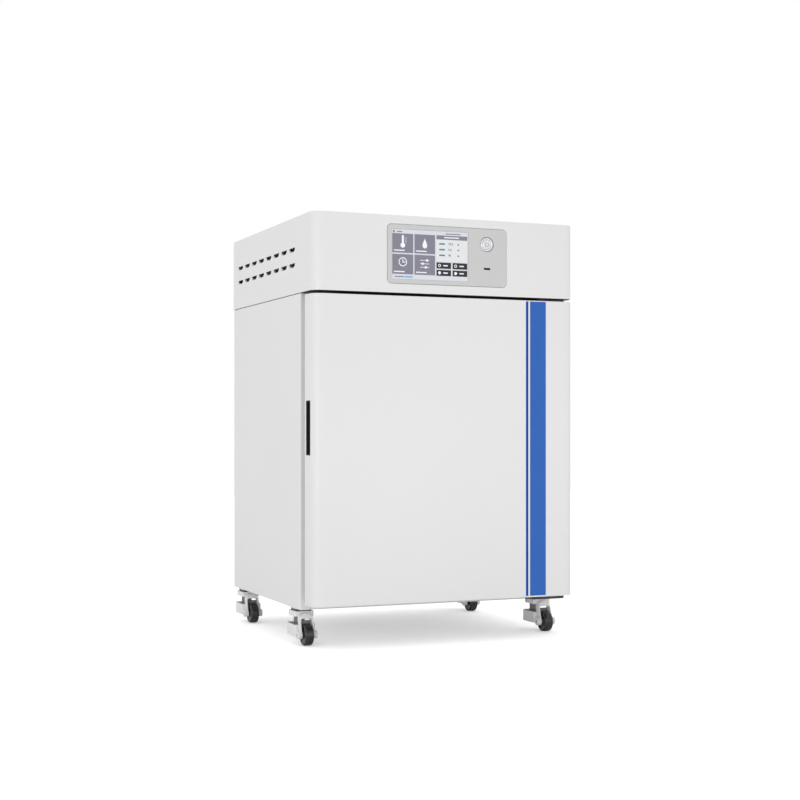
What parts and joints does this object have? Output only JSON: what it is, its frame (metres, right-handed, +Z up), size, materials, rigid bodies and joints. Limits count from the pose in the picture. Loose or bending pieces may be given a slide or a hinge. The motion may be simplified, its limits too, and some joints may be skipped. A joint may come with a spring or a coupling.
{
  "type": "carbon dioxide incubator",
  "caption": "Floor-standing laboratory incubator: insulated chamber with a glass inner door, a hinged outer door, a control panel in the cover and levelling casters.",
  "frame": {"origin": "middle of the overall width and depth, on the floor under the wheels", "axes": "+Z up, -Y out of the front door, +X to the viewer's right when facing the door"},
  "size_m": [0.594, 0.5806, 0.875],
  "materials": {
    "white_paint": "satin powder coat",
    "dark_paint": "satin",
    "grey_paint": "satin",
    "grey_plastic": "fine texture",
    "white_plastic": "smooth",
    "black_plastic": "matt",
    "stainless_steel": "electropolished",
    "zinc_plated_steel": "plated",
    "satin_chrome": "satin",
    "nickel_plated_brass": "plated",
    "dark_rubber": "matt",
    "silicone": "matt",
    "wheel_polymer": "matt",
    "clear_glass": "clear",
    "screen_glass": "gloss",
    "blue_film": "satin",
    "foam": "cut foam",
    "circuit_board": "solder mask"
  },
  "bodies": {
    "cabinet": {"cabinet_shell": "white_paint", "base_pan": "white_paint", "rear_panel": "white_paint", "insulation": "foam", "inner_chamber": "stainless_steel", "front_frame": "grey_plastic", "chamber_seal": "silicone", "shelf_rail_left": "stainless_steel", "shelf_rail_right": "stainless_steel", "fan_cover": "stainless_steel", "co2_sensor": "white_plastic", "hinge_lower": "dark_paint", "hinge_upper": "dark_paint", "inner_hinge_strip": "zinc_plated_steel", "latch_keeper": "zinc_plated_steel", "top_cover": "white_paint", "cover_deck": "white_paint", "panel_bezel": "grey_plastic", "touch_screen": "screen_glass", "button_ring": "satin_chrome", "usb_port": "black_plastic", "control_board": "circuit_board", "power_supply": "zinc_plated_steel", "fan_motor": "zinc_plated_steel", "co2_valve": "nickel_plated_brass", "gas_tube": "stainless_steel", "gas_inlet": "nickel_plated_brass", "power_inlet": "black_plastic", "caster_plate_front_left": "zinc_plated_steel", "caster_plate_front_right": "zinc_plated_steel", "caster_plate_rear_left": "zinc_plated_steel", "caster_plate_rear_right": "zinc_plated_steel"},
    "door": {"door_shell": "white_paint", "door_liner": "white_plastic", "door_foam": "foam", "door_gasket": "dark_rubber", "handle_cup": "black_plastic", "door_stripe_narrow": "blue_film", "door_stripe_wide": "blue_film"},
    "inner_door": {"inner_door_glass": "clear_glass", "inner_door_stile": "zinc_plated_steel"},
    "latch": {"inner_door_latch": "zinc_plated_steel"},
    "shelf_1": {"shelf_1": "stainless_steel"},
    "shelf_2": {"shelf_2": "stainless_steel"},
    "shelf_3": {"shelf_3": "stainless_steel"},
    "water_tray": {"water_tray": "stainless_steel"},
    "power_button": {"power_button": "satin_chrome"},
    "fan": {"fan_wheel": "black_plastic"},
    "swivel_front_left": {"caster_fork_front_left": "grey_paint"},
    "wheel_front_left": {"caster_wheel_front_left": "wheel_polymer"},
    "foot_front_left": {"caster_foot_front_left": "grey_paint"},
    "swivel_front_right": {"caster_fork_front_right": "grey_paint"},
    "wheel_front_right": {"caster_wheel_front_right": "wheel_polymer"},
    "foot_front_right": {"caster_foot_front_right": "grey_paint"},
    "swivel_rear_left": {"caster_fork_rear_left": "grey_paint"},
    "wheel_rear_left": {"caster_wheel_rear_left": "wheel_polymer"},
    "foot_rear_left": {"caster_foot_rear_left": "grey_paint"},
    "swivel_rear_right": {"caster_fork_rear_right": "grey_paint"},
    "wheel_rear_right": {"caster_wheel_rear_right": "wheel_polymer"},
    "foot_rear_right": {"caster_foot_rear_right": "grey_paint"}
  },
  "joints": [
    {"name": "door_hinge", "type": "hinge", "parent": "cabinet", "child": "door", "pos_m": [0.2728, -0.2677, 0.0875], "axis": [0, 0, 1], "range_deg": [0, 120]},
    {"name": "inner_door_hinge", "type": "hinge", "parent": "cabinet", "child": "inner_door", "pos_m": [0.2265, -0.2373, 0.391], "axis": [0, 0, 1], "range_deg": [0, 84]},
    {"name": "latch_turn", "type": "hinge", "parent": "inner_door", "child": "latch", "pos_m": [-0.198, -0.2393, 0.391], "axis": [0, -1, 0], "range_deg": [0, 90]},
    {"name": "shelf_1_slide", "type": "slide", "parent": "cabinet", "child": "shelf_1", "axis": [0, -1, 0], "range_m": [0, 0.028]},
    {"name": "shelf_2_slide", "type": "slide", "parent": "cabinet", "child": "shelf_2", "axis": [0, -1, 0], "range_m": [0, 0.028]},
    {"name": "shelf_3_slide", "type": "slide", "parent": "cabinet", "child": "shelf_3", "axis": [0, -1, 0], "range_m": [0, 0.028]},
    {"name": "water_tray_slide", "type": "slide", "parent": "cabinet", "child": "water_tray", "axis": [0, -1, 0], "range_m": [0, 0.033]},
    {"name": "power_button_press", "type": "slide", "parent": "cabinet", "child": "power_button", "axis": [0, 1, 0], "range_m": [0, 0.0015], "stiffness_N_per_m": 800},
    {"name": "fan_spin", "type": "hinge", "parent": "cabinet", "child": "fan", "pos_m": [0, -0.0297, 0.641], "axis": [0, 0, 1], "continuous": true},
    {"name": "swivel_front_left_turn", "type": "hinge", "parent": "cabinet", "child": "swivel_front_left", "pos_m": [-0.2745, -0.1612, 0.0675], "axis": [0, 0, 1], "continuous": true},
    {"name": "wheel_front_left_roll", "type": "hinge", "parent": "swivel_front_left", "child": "wheel_front_left", "pos_m": [-0.2745, -0.1972, 0.022], "axis": [1, 0, 0], "continuous": true},
    {"name": "foot_front_left_screw", "type": "slide", "parent": "swivel_front_left", "child": "foot_front_left", "axis": [0, 0, -1], "range_m": [0, 0.019]},
    {"name": "swivel_front_right_turn", "type": "hinge", "parent": "cabinet", "child": "swivel_front_right", "pos_m": [0.2745, -0.1612, 0.0675], "axis": [0, 0, 1], "continuous": true},
    {"name": "wheel_front_right_roll", "type": "hinge", "parent": "swivel_front_right", "child": "wheel_front_right", "pos_m": [0.2745, -0.1972, 0.022], "axis": [1, 0, 0], "continuous": true},
    {"name": "foot_front_right_screw", "type": "slide", "parent": "swivel_front_right", "child": "foot_front_right", "axis": [0, 0, -1], "range_m": [0, 0.019]},
    {"name": "swivel_rear_left_turn", "type": "hinge", "parent": "cabinet", "child": "swivel_rear_left", "pos_m": [-0.2745, 0.2178, 0.0675], "axis": [0, 0, 1], "continuous": true},
    {"name": "wheel_rear_left_roll", "type": "hinge", "parent": "swivel_rear_left", "child": "wheel_rear_left", "pos_m": [-0.2745, 0.1818, 0.022], "axis": [1, 0, 0], "continuous": true},
    {"name": "foot_rear_left_screw", "type": "slide", "parent": "swivel_rear_left", "child": "foot_rear_left", "axis": [0, 0, -1], "range_m": [0, 0.019]},
    {"name": "swivel_rear_right_turn", "type": "hinge", "parent": "cabinet", "child": "swivel_rear_right", "pos_m": [0.2745, 0.2178, 0.0675], "axis": [0, 0, 1], "continuous": true},
    {"name": "wheel_rear_right_roll", "type": "hinge", "parent": "swivel_rear_right", "child": "wheel_rear_right", "pos_m": [0.2745, 0.1818, 0.022], "axis": [1, 0, 0], "continuous": true},
    {"name": "foot_rear_right_screw", "type": "slide", "parent": "swivel_rear_right", "child": "foot_rear_right", "axis": [0, 0, -1], "range_m": [0, 0.019]}
  ],
  "couplings": [
    {"joint": "inner_door_hinge", "follows": "door_hinge", "ratio": 0.7}
  ]
}
